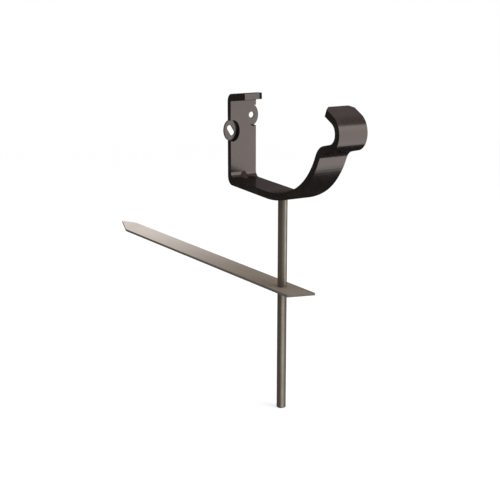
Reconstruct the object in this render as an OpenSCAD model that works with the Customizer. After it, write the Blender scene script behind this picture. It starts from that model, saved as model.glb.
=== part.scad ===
// Rise-and-fall gutter bracket: a folded steel cradle that carries a moulded
// gutter, a round rod under it, and a flat spike that is driven into the wall.
// Millimetres. +X points out from the fascia, +Y runs along the gutter, +Z is up.
// The origin is on the strap's back face, halfway between the two screw holes.

/* [Strap] */
// width of the flat bar that the cradle is folded from
strap_w = 25; // [22:0.5:30]
// thickness of that flat bar
strap_t = 6; // [5:0.5:7]
// clear height from the floor of the cradle to the underside of the top lip
back_h = 68.5; // [64:0.5:90]
// outer radius of the bend between the back and the floor
back_bend_r = 7.5; // [7:0.5:11]
// radius of the fuller inside of that bend
back_fill_r = 5.5; // [5:0.5:7]
// how far the top lip reaches in from the back's front face
lip_reach = 16.5; // [12:0.5:20]
// inner radius of the bend between the back and the lip
lip_bend_r = 1.5; // [1:0.5:3]
// rise of the lip from level, towards its end
lip_tilt = 4.5; // [0:0.5:8]
// how much thinner the lip is at its end than the rest of the strap
lip_thin = 0.7; // [0:0.1:1.5]
// length cut off each side of the lip's two corners, at 45 degrees
lip_corner = 5.4; // [2:0.1:8]

/* [Front of the cradle] */
// straight floor, from the back's front face to the start of the sweep
floor_len = 63.2; // [58:0.1:90]
// inner radius of the first, flatter part of the sweep
sweep_low_r = 106.5; // [90:0.5:130]
// angle turned by the first part of the sweep
sweep_low_angle = 25.3; // [20:0.1:30]
// inner radius of the second, tighter part of the sweep
sweep_high_r = 63.5; // [55:0.5:75]
// angle turned by the second part of the sweep
sweep_high_angle = 39.4; // [35:0.1:45]
// short straight between the sweep and the step
sweep_run = 1.2; // [1:0.1:4]
// outer radius of the bend that turns the strap out into the step
step_bend_r = 16.3; // [12:0.1:20]
// angle turned back by that bend
step_bend_angle = 51.2; // [45:0.1:55]
// straight of the step, under the gutter's front bead
step_run = 8.9; // [6:0.1:14]

/* [Hook] */
// inner radius of the hook over the gutter's front bead
hook_r = 8.5; // [7:0.1:11]
// angle turned by the hook
hook_angle = 142.6; // [130:0.1:150]
// straight of the hook's arm past its bend
hook_arm = 13.6; // [7:0.1:18]
// length cut off each side of the arm's two corners, at 45 degrees
hook_corner = 3.5; // [2:0.1:8]

/* [Screw ears] */
// height of the midpoint between the two screw holes above the cradle's floor
ear_mid_h = 48.2; // [44:0.1:60]
// height of each ear above or below that midpoint
ear_rise = 6.2; // [4:0.1:7]
// distance of each ear's centre from the middle of the strap
ear_offset = 10.3; // [9:0.1:12]
// width of an ear, which is an upright oval
ear_w = 13.2; // [11:0.1:14]
// height of an ear
ear_h = 18.8; // [16:0.1:20]
// thickness left in an ear after it is pressed back
ear_t = 2; // [1.5:0.1:3]
// diameter of the round screw hole
screw_d = 5.5; // [4.5:0.1:6.5]
// width of the levelling slot
slot_w = 5; // [4.5:0.1:5.5]
// distance between the centres of the slot's two ends
slot_run = 5; // [3:0.1:6]
// lean of the slot from upright
slot_lean = 31; // [0:1:45]

/* [Stiffening dart] */
// length of the pressed dart up the back and along the floor
dart_leg = 5.6; // [5:0.1:8]
// width of the dart across the strap
dart_w = 7; // [6:0.5:10]

/* [Rod] */
// diameter of the rod
rod_d = 8; // [6:0.1:9]
// length of the rod from the cradle's underside to its lower end
rod_len = 187.5; // [170:0.5:230]
// distance of the rod from the back's front face
rod_reach = 69.5; // [65:0.1:75]
// depth of the blind seat in the cradle's underside that holds the rod's top
rod_seat = 3; // [2:0.1:3.5]
// chamfer round the rod's lower end
rod_chamfer = 0.5; // [0.3:0.1:1.5]

/* [Spike] */
// width of the spike's flat bar
spike_w = 22.8; // [20:0.1:26]
// thickness of the spike's flat bar
spike_t = 2.2; // [2:0.1:4]
// depth of the spike's top face below the cradle's underside
spike_drop = 76.8; // [60:0.1:100]
// length from the rod's axis to the driven point
spike_len = 293; // [250:1:320]
// length of the point's long bevel, on the -Y side
bevel_long = 36; // [30:1:50]
// length of the point's short bevel, on the +Y side
bevel_short = 17; // [10:1:25]
// distance of the point from the middle of the spike
point_off = 3.7; // [0:0.1:6]
// length past the rod's axis at the rod end, on the -Y side
end_near = 22.5; // [18:0.1:28]
// length past the rod's axis at the rod end, on the +Y side
end_far = 31; // [18:0.1:34]
// turn of the spike about the rod, seen from above
spike_turn = 6.6; // [-10:0.1:10]
// difference between the diameter of the spike's hole and the rod's
rod_fit = 0.1; // [0:0.05:0.4]

/* [Hidden] */
$fn = 96;
// most that one facet of a bend turns
facet_angle = 2.5;
// how far a cutting shape runs past the face it cuts
past = 1;
floor_z = -ear_mid_h;
under_z = floor_z - strap_t;
mid_t = strap_t / 2;
rod_x = strap_t + rod_reach;
spike_z = under_z - spike_drop;

strap_colour = [0.13, 0.11, 0.10];
rod_colour = [0.48, 0.44, 0.39];
spike_colour = [0.66, 0.63, 0.60];

// The cradle is one strap, followed from the lip's end to the hook's end. Each
// stretch is [radius of the middle line, angle turned towards the inside], and
// a straight is [length, 0]. Headings are measured from +X, in the X-Z plane.
lip_run = lip_reach - lip_bend_r;
back_run = back_h + strap_t - back_bend_r - lip_bend_r;
stretches = [
    [lip_run, 0],
    [lip_bend_r + mid_t, 90 - lip_tilt],
    [back_run, 0],
    [back_bend_r - mid_t, 90],
    [floor_len + strap_t - back_bend_r, 0],
    [sweep_low_r + mid_t, sweep_low_angle],
    [sweep_high_r + mid_t, sweep_high_angle],
    [sweep_run, 0],
    [step_bend_r - mid_t, -step_bend_angle],
    [step_run, 0],
    [hook_r + mid_t, hook_angle],
    [hook_arm, 0]
];
lip_end = [
    strap_t + lip_bend_r - (lip_bend_r + mid_t) * sin(lip_tilt) + lip_run * cos(lip_tilt),
    floor_z + back_h - lip_bend_r + (lip_bend_r + mid_t) * cos(lip_tilt)
        + lip_run * sin(lip_tilt),
    180 + lip_tilt
];

// pose [x, z, heading] reached part f of the way along one stretch
function along(pose, s, f) = s[1] == 0
    ? [pose[0] + f * s[0] * cos(pose[2]), pose[1] + f * s[0] * sin(pose[2]), pose[2]]
    : let (r = sign(s[1]) * s[0], h = pose[2] + f * s[1])
        [pose[0] + r * (sin(h) - sin(pose[2])), pose[1] - r * (cos(h) - cos(pose[2])), h];

// poses along all stretches from the i-th on
function path(pose, i = 0) = i == len(stretches)
    ? [pose]
    : let (s = stretches[i], n = max(1, ceil(abs(s[1]) / facet_angle)))
        concat([for (k = [0:n - 1]) along(pose, s, k / n)],
               path(along(pose, s, 1), i + 1));

strap_path = path(lip_end);
hook_end = strap_path[len(strap_path) - 1];

// the path's points moved sideways by d, towards the inside of the cradle, and
// the first of them, at the lip's end, by d_lip
function side_line(d, d_lip) = [for (k = [0:len(strap_path) - 1])
    let (q = strap_path[k], e = k == 0 ? d_lip : d)
        [q[0] - e * sin(q[2]), q[1] + e * cos(q[2])]];

// the folded strap, with square ends
module folded_strap() {
    outside = side_line(-mid_t, -mid_t);
    translate([0, strap_w / 2, 0]) rotate([90, 0, 0]) linear_extrude(strap_w) {
        polygon(concat(side_line(mid_t, mid_t - lip_thin),
                       [for (k = [len(outside) - 1:-1:0]) outside[k]]));
        translate([strap_t, floor_z]) difference() {
            translate([-past, -past]) square(back_fill_r + past);
            translate([back_fill_r, back_fill_r]) circle(back_fill_r);
        }
    }
}

// what is cut off both corners of the strap's end at a pose that heads outwards
module end_corners(pose, corner) {
    half_w = strap_w / 2;
    translate([pose[0], 0, pose[1]]) rotate([0, -pose[2], 0])
        translate([0, 0, -strap_t]) linear_extrude(2 * strap_t)
        for (side = [-1, 1]) polygon([
            [past, side * (half_w - corner - past)],
            [-corner - past, side * (half_w + past)],
            [past, side * (half_w + past)]
        ]);
}

// upright slot with round ends through the strap's back, from depth x0 to x1
module slot(x0, x1, w, run) {
    translate([x0, 0, 0]) rotate([90, 0, 90]) linear_extrude(x1 - x0) {
        translate([-w / 2, -run / 2]) square([w, run]);
        for (s = [-1, 1]) translate([0, s * run / 2]) circle(d = w);
    }
}

// oval plate of an ear's outline, lying in the strap's back from depth x0 to x1
module ear_plate(x0, x1) {
    translate([x0, 0, 0]) rotate([90, 0, 90]) linear_extrude(x1 - x0)
        scale([1, ear_h / ear_w]) circle(d = ear_w);
}

// where an ear sits: side -1 is the lower one, side 1 the upper one
module at_ear(side) {
    translate([0, side * ear_offset, side * ear_rise]) children();
}

// round ridge lying across the inside of the back bend, its crest dart_leg up
// the back and dart_leg out along the floor, moved out of the bend by shift
module ridge(shift) {
    crest = dart_leg / sqrt(2);
    translate([strap_t, 0, floor_z]) rotate([0, 45, 0])
        translate([-crest - strap_t, 0, crest - dart_w / 2 - shift])
        rotate([0, 90, 0]) cylinder(h = 2 * (crest + strap_t), d = dart_w);
}

// pressed dart: the ridge inside the bend, kept within the strap's own faces
module dart() {
    intersection() {
        ridge(0);
        translate([strap_t - mid_t, -strap_w / 2, floor_z - mid_t])
            cube([dart_leg + mid_t, strap_w, dart_leg + mid_t]);
    }
}

module cradle_strap() {
    color(strap_colour) difference() {
        union() {
            difference() {
                union() {
                    folded_strap();
                    dart();
                }
                for (side = [-1, 1]) at_ear(side) ear_plate(ear_t, strap_t + past);
            }
            for (side = [-1, 1]) at_ear(side) ear_plate(0, ear_t);
        }
        at_ear(1) rotate([0, 90, 0])
            translate([0, 0, -past]) cylinder(h = ear_t + 2 * past, d = screw_d);
        at_ear(-1) rotate([slot_lean, 0, 0])
            slot(-past, ear_t + past, slot_w, slot_run);
        ridge(strap_t);
        end_corners([lip_end[0], lip_end[1], lip_tilt], lip_corner);
        end_corners(hook_end, hook_corner);
        translate([rod_x, 0, under_z - past])
            cylinder(h = rod_seat + past, d = rod_d + rod_fit);
    }
}

module rod() {
    color(rod_colour) translate([rod_x, 0, under_z - rod_len]) {
        cylinder(h = rod_chamfer, d1 = rod_d - 2 * rod_chamfer, d2 = rod_d);
        translate([0, 0, rod_chamfer])
            cylinder(h = rod_len + rod_seat - rod_chamfer, d = rod_d);
    }
}

module spike() {
    color(spike_colour) translate([rod_x, 0, spike_z - spike_t])
        rotate([0, 0, spike_turn]) difference() {
            linear_extrude(spike_t) polygon([
                [end_near, -spike_w / 2],
                [end_far, spike_w / 2],
                [bevel_short - spike_len, spike_w / 2],
                [-spike_len, point_off],
                [bevel_long - spike_len, -spike_w / 2]
            ]);
            translate([0, 0, -past])
                cylinder(h = spike_t + 2 * past, d = rod_d + rod_fit);
        }
}

cradle_strap();
rod();
spike();
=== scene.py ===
import math

import bpy
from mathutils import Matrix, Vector


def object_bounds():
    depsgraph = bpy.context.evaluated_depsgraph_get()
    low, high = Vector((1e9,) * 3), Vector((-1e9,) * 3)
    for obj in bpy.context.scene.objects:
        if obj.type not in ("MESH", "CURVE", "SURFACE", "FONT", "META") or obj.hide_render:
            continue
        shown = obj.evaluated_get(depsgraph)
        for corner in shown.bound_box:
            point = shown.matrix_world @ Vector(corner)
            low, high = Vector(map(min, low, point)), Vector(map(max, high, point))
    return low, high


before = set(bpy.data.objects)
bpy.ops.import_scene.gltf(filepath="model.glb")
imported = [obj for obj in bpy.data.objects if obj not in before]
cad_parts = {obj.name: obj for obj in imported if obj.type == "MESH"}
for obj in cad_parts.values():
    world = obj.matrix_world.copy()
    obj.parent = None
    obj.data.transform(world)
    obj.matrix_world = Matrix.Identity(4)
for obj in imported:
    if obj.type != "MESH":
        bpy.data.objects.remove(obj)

cad_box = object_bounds()
scene = bpy.context.scene
scene.view_settings.view_transform = "Standard"

# ---- Camera -------------------------------------------------------------
# Looks along the gutter from the open end, a little from above, so that the
# cradle's profile, its front sweep and the whole length of the spike show.
camera_turn = math.radians(61.56)
camera_pitch = math.radians(15.02)
camera_place = (0.80628, -0.42692, 0.12802)
focal_length = 74.6
sensor_width = 36.0
clip_near, clip_far = 0.01, 50.0

camera_data = bpy.data.cameras.new("camera")
camera_data.lens = focal_length
camera_data.sensor_width = sensor_width
camera_data.clip_start = clip_near
camera_data.clip_end = clip_far
camera = bpy.data.objects.new("camera", camera_data)
scene.collection.objects.link(camera)
camera.location = camera_place
camera.rotation_euler = (math.pi / 2 - camera_pitch, 0.0, camera_turn)
scene.camera = camera


# ---- Floor and studio ---------------------------------------------------
# A white floor that the rod stands on, one large soft lamp out beyond the hook
# and a weak one behind it. Gloss sees a studio with one broad bright side, a dim
# roof and dark ends, so every face of the strap takes its own even tone.
class Socket:
    """A shader socket that takes part in arithmetic by adding Math nodes."""

    def __init__(self, tree, out):
        self.tree, self.out = tree, out

    def math(self, operation, *values):
        return node(self.tree, "ShaderNodeMath", {"operation": operation}, *values)

    def __add__(self, other):
        return self.math("ADD", self, other)

    def __sub__(self, other):
        return self.math("SUBTRACT", self, other)

    def __mul__(self, other):
        return self.math("MULTIPLY", self, other)

    def __radd__(self, other):
        return self.math("ADD", other, self)

    def __rsub__(self, other):
        return self.math("SUBTRACT", other, self)

    def __rmul__(self, other):
        return self.math("MULTIPLY", other, self)

    def step(self, low, high):
        """0 at low, 1 at high and a smooth rise between them."""
        return node(self.tree, "ShaderNodeMapRange",
                    {"interpolation_type": "SMOOTHSTEP", "clamp": True}, self, low, high)


def node(tree, kind, settings=None, *values, out=0, **named):
    """Add a node: settings first, then its sockets by order or by name."""
    made = tree.nodes.new(kind)
    for key, value in (settings or {}).items():
        setattr(made, key, value)
    for key, value in list(enumerate(values)) + list(named.items()):
        socket = made.inputs[key if isinstance(key, int) else key.replace("_", " ")]
        if isinstance(value, Socket):
            tree.links.new(value.out, socket)
        else:
            socket.default_value = value
    return Socket(tree, made.outputs[out])


def show(tree, shader, kind="ShaderNodeOutputMaterial"):
    """Make a shader the surface of its material or of the world."""
    tree.links.new(shader.out, tree.nodes.new(kind).inputs["Surface"])


white = (1.0, 1.0, 1.0, 1.0)
floor_half = 4.0
floor_z = cad_box[0][2]
floor_grey = (0.86, 0.86, 0.86, 1.0)
floor_shown = (0.55, 0.55, 0.55, 1.0)
floor_lift = 0.53
floor_near, floor_far = 0.6, 1.6
floor_mesh = bpy.data.meshes.new("floor")
floor_mesh.from_pydata([(-floor_half, -floor_half, 0.0), (floor_half, -floor_half, 0.0),
                        (floor_half, floor_half, 0.0), (-floor_half, floor_half, 0.0)],
                       [], [(0, 1, 2, 3)])
floor = bpy.data.objects.new("floor", floor_mesh)
scene.collection.objects.link(floor)
floor.location.z = floor_z
floor.visible_glossy = False

# Light falls on the floor's matt grey. What is looked at is white far off, pale
# enough near the rod to hold its shadow, and clear from below.
floor_paint = bpy.data.materials.new("white_floor")
floor_paint.use_nodes = True
tree = floor_paint.node_tree
tree.nodes.clear()
spot = node(tree, "ShaderNodeTexCoord", None, out="Object")
reach = node(tree, "ShaderNodeVectorMath", {"operation": "LENGTH"}, spot, out="Value")
seen = node(tree, "ShaderNodeLightPath", None, out="Is Camera Ray")
matt = node(tree, "ShaderNodeBsdfDiffuse", None, floor_grey)
lift = node(tree, "ShaderNodeEmission", None, white, floor_lift)
pale = node(tree, "ShaderNodeBsdfDiffuse", None, floor_shown)
near = node(tree, "ShaderNodeAddShader", None, pale, lift)
far = node(tree, "ShaderNodeEmission", None, white, 1.0)
top = node(tree, "ShaderNodeMixShader", None, reach.step(floor_near, floor_far), near, far)
below = node(tree, "ShaderNodeNewGeometry", None, out="Backfacing")
clear = node(tree, "ShaderNodeBsdfTransparent", None, white)
shown = node(tree, "ShaderNodeMixShader", None, below, top, clear)
show(tree, node(tree, "ShaderNodeMixShader", None, seen, matt, shown))
floor_mesh.materials.append(floor_paint)

# The bright side is a disc round side_way, cut off before the dark open end.
# Only a first reflection sees the studio, so that the cradle's floor stays dark
# beside its back.
room_strength = 0.65
side_way = (0.941, 0.201, -0.271)
side_strength = 1.39
side_tint = (1.0, 0.985, 0.96, 1.0)
side_rim = (0.40, 0.57)
side_end = (-0.7, -0.3)
roof_strength = 0.27
roof_tint = (1.0, 0.86, 0.83, 1.0)
roof_rise = (-0.1, 0.7)
dark_strength = 0.02
second_bounce = (1.2, 1.8)

world = bpy.data.worlds.new("studio")
scene.world = world
world.use_nodes = True
tree = world.node_tree
tree.nodes.clear()
way = node(tree, "ShaderNodeTexCoord", None, out="Generated")
height = node(tree, "ShaderNodeSeparateXYZ", None, way, out="Z")
across = node(tree, "ShaderNodeSeparateXYZ", None, way, out="Y")
facing = node(tree, "ShaderNodeVectorMath", {"operation": "DOT_PRODUCT"}, way, side_way, out="Value")
bounces = node(tree, "ShaderNodeLightPath", None, out="Glossy Depth")
straight = 1.0 - bounces.step(*second_bounce)
side_light = side_strength * facing.step(*side_rim) * across.step(*side_end) * straight
roof_light = roof_strength * height.step(*roof_rise) * straight + dark_strength
room = node(tree, "ShaderNodeBackground", None, white, room_strength)
tent = node(tree, "ShaderNodeAddShader", None,
            node(tree, "ShaderNodeBackground", None, side_tint, side_light),
            node(tree, "ShaderNodeBackground", None, roof_tint, roof_light))
backdrop = node(tree, "ShaderNodeBackground", None, white, 1.0)
glossy = node(tree, "ShaderNodeLightPath", None, out="Is Glossy Ray")
seen = node(tree, "ShaderNodeLightPath", None, out="Is Camera Ray")
inside = node(tree, "ShaderNodeMixShader", None, glossy, room, tent)
show(tree, node(tree, "ShaderNodeMixShader", None, seen, inside, backdrop), "ShaderNodeOutputWorld")


def soft_lamp(name, place, watts, size=1.2):
    """A square lamp aimed at the bracket, which gloss doesn't see."""
    data = bpy.data.lights.new(name, "AREA")
    data.shape, data.size, data.energy = "SQUARE", size, watts
    lamp = bpy.data.objects.new(name, data)
    scene.collection.objects.link(lamp)
    lamp.location = place
    lamp.rotation_euler = (-Vector(place)).to_track_quat("-Z", "Y").to_euler()
    lamp.visible_glossy = False


soft_lamp("front_lamp", place=(1.1, 0.85, 1.0), watts=17.5)
soft_lamp("back_lamp", place=(-0.9, -1.0, 1.1), watts=5.0)


# ---- Cradle strap -------------------------------------------------------
# One flat steel bar folded into the gutter's cradle and powder coated a glossy
# dark brown. Its ears, dart and hook are pressed and bent into the same bar.
def new_finish(name, **fixed):
    """A material with one shader. What is even all over goes on its own sockets."""
    made = bpy.data.materials.new(name)
    made.use_nodes = True
    shader = made.node_tree.nodes["Principled BSDF"]
    for key, value in fixed.items():
        shader.inputs[key.replace("_", " ")].default_value = value
    return made, made.node_tree, shader


def feed(shader, **varying):
    """Link what varies over the surface to the shader's sockets of those names."""
    for key, value in varying.items():
        value.tree.links.new(value.out, shader.inputs[key.replace("_", " ")])


def mix_colour(tree, share, first, second):
    """The first colour where share is 0 and the second where it is 1."""
    made = tree.nodes.new("ShaderNodeMix")
    made.data_type = "RGBA"
    share_in, first_in, second_in, colour_out = 0, 6, 7, 2  # the node's colour sockets
    tree.links.new(share.out, made.inputs[share_in])
    for index, value in ((first_in, first), (second_in, second)):
        if isinstance(value, Socket):
            tree.links.new(value.out, made.inputs[index])
        else:
            made.inputs[index].default_value = value
    return Socket(tree, made.outputs[colour_out])


def finish_part(part, finish):
    """Give a solid its finish in place of the plain colour that it comes with."""
    part.data.materials.clear()
    part.data.materials.append(finish)


coat_deep = (0.013, 0.011, 0.010, 1.0)
coat_thin = (0.024, 0.020, 0.018, 1.0)
coat_tint = (1.0, 0.86, 0.82, 1.0)
thin_patches = (0.4, 0.8)
coat_rough, coat_rough_spread = 0.14, 0.10
peel_scale, cloud_scale = 1100.0, 55.0
coat, tree, shader = new_finish("brown_powder_coat", IOR=2.0, Specular_Tint=coat_tint)
place = node(tree, "ShaderNodeTexCoord", None, out="Object")
peel = node(tree, "ShaderNodeTexNoise", None, place, Scale=peel_scale, Detail=2.0, Roughness=0.5)
cloud = node(tree, "ShaderNodeTexNoise", None, place, Scale=cloud_scale, Detail=3.0, Roughness=0.6)
feed(shader,
     Base_Color=mix_colour(tree, cloud.step(*thin_patches), coat_deep, coat_thin),
     Roughness=coat_rough + coat_rough_spread * cloud,
     Normal=node(tree, "ShaderNodeBump", None, Strength=0.05, Distance=0.0004, Height=peel))
finish_part(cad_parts["cradle_strap"], coat)

# ---- Rod ----------------------------------------------------------------
# Plain round steel bar, drawn through a die, which leaves fine marks along it.
# It is fixed in the cradle's underside and goes down through the spike. Its dark
# colour is painted shade, and its light bare-metal stripes down one side above the
# spike and another side below it are painted highlights of the studio's reflection.
rod_dark = (0.25, 0.218, 0.178, 1.0)
rod_light = (0.38, 0.345, 0.292, 1.0)
# Painted shade: the dark colour the rod takes wherever no painted highlight lies.
rod_painted_shade = (0.105, 0.083, 0.062, 1.0)
spike_level = floor_z + 0.1105
level_edge = (-0.001, 0.001)
# Painted highlights: above the spike a light stripe on the side facing this way, below it a fainter
# one on the faces turned across this way.
highlight_way = (0.476, 0.879, 0.0)
highlight_high = (0.22, 0.62)
highlight_low_from, highlight_low_to = (-0.40, -0.10), (0.32, 0.68)
highlight_low_share = 0.66
marks_share, patch_share = 0.6, 0.4
light_marks = (0.35, 0.65)
shade_metallic, highlight_metallic = 0.25, 0.6
rod_rough, rod_rough_spread = 0.29, 0.14
marks_scale, marks_stretch, patch_scale = 1500.0, 0.02, 90.0
drawn, tree, shader = new_finish("drawn_steel")
place = node(tree, "ShaderNodeTexCoord", None, out="Object")
long_way = node(tree, "ShaderNodeMapping", None, place, Scale=(1.0, 1.0, marks_stretch))
marks = node(tree, "ShaderNodeTexNoise", None, long_way, Scale=marks_scale, Detail=4.0, Roughness=0.6)
patch = node(tree, "ShaderNodeTexNoise", None, place, Scale=patch_scale, Detail=4.0, Roughness=0.6)
sideways = node(tree, "ShaderNodeVectorMath", {"operation": "DOT_PRODUCT"},
                node(tree, "ShaderNodeTexCoord", None, out="Normal"), highlight_way, out="Value")
above = (node(tree, "ShaderNodeSeparateXYZ", None, place, out="Z")
         - spike_level).step(*level_edge)
highlight_above = sideways.step(*highlight_high)
highlight_below = sideways.step(*highlight_low_from) * (1.0 - sideways.step(*highlight_low_to))
# Painted highlight mask: where it is 1 the rod takes the light bare-metal colour and more metallic,
# where it is 0 the painted shade.
painted_highlight = above * highlight_above + highlight_low_share * (1.0 - above) * highlight_below
drawn_look = mix_colour(tree, (marks_share * marks + patch_share * patch).step(*light_marks),
                        rod_dark, rod_light)
feed(shader,
     Base_Color=mix_colour(tree, painted_highlight, rod_painted_shade, drawn_look),
     Metallic=shade_metallic + highlight_metallic * painted_highlight,
     Roughness=rod_rough + rod_rough_spread * patch,
     Normal=node(tree, "ShaderNodeBump", None, Strength=0.12, Distance=0.0002, Height=marks))
finish_part(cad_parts["rod"], drawn)

# ---- Spike --------------------------------------------------------------
# Flat steel bar cut to a point and brushed along its length. Its flat faces are
# painted dull towards the rod and bright towards the point, a painted highlight
# standing in for the reflection that brightens along its top.
spike_turn = math.radians(6.6)
spike_hole = (0.0755, 0.0, 0.0)
# Painted highlight along the bar's flat faces: the dull colours at the rod end, the bright ones
# towards the point.
highlight_start, bright_end = -0.02, -0.27
ragged = 0.03
dull_dark = (0.212, 0.174, 0.136, 1.0)
dull_light = (0.280, 0.232, 0.186, 1.0)
bright_dark = (0.76, 0.685, 0.62, 1.0)
bright_light = (0.88, 0.80, 0.735, 1.0)
sheared = (0.135, 0.118, 0.102, 1.0)
flat_face = (0.3, 0.7)
marks_share, patch_share = 0.6, 0.4
light_marks = (0.3, 0.7)
spike_rough, spike_rough_spread = 0.36, 0.12
marks_scale, marks_stretch, patch_scale = 1300.0, 0.02, 45.0
brushed, tree, shader = new_finish("brushed_steel", Metallic=0.15)
place = node(tree, "ShaderNodeTexCoord", None, out="Object")
turned = node(tree, "ShaderNodeMapping", {"vector_type": "TEXTURE"}, place, spike_hole,
              (0.0, 0.0, spike_turn))
long_way = node(tree, "ShaderNodeMapping", None, turned, Scale=(marks_stretch, 1.0, 1.0))
marks = node(tree, "ShaderNodeTexNoise", None, long_way, Scale=marks_scale, Detail=4.0, Roughness=0.6)
patch = node(tree, "ShaderNodeTexNoise", None, place, Scale=patch_scale, Detail=4.0, Roughness=0.6)
reach = node(tree, "ShaderNodeSeparateXYZ", None, turned, out="X")
share = (marks_share * marks + patch_share * patch).step(*light_marks)
# Painted highlight: a ramp along the bar from dull to bright, with a ragged edge.
spike_highlight = (reach + ragged * patch - ragged / 2).step(highlight_start, bright_end)
upward = node(tree, "ShaderNodeSeparateXYZ", None,
              node(tree, "ShaderNodeTexCoord", None, out="Normal"), out="Z")
broad = upward.math("ABSOLUTE", upward).step(*flat_face)
flat = mix_colour(tree, spike_highlight, mix_colour(tree, share, dull_dark, dull_light),
                  mix_colour(tree, share, bright_dark, bright_light))
feed(shader,
     Base_Color=mix_colour(tree, broad, sheared, flat),
     Roughness=spike_rough + spike_rough_spread * patch,
     Normal=node(tree, "ShaderNodeBump", None, Strength=0.15, Distance=0.0002, Height=marks))
finish_part(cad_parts["spike"], brushed)
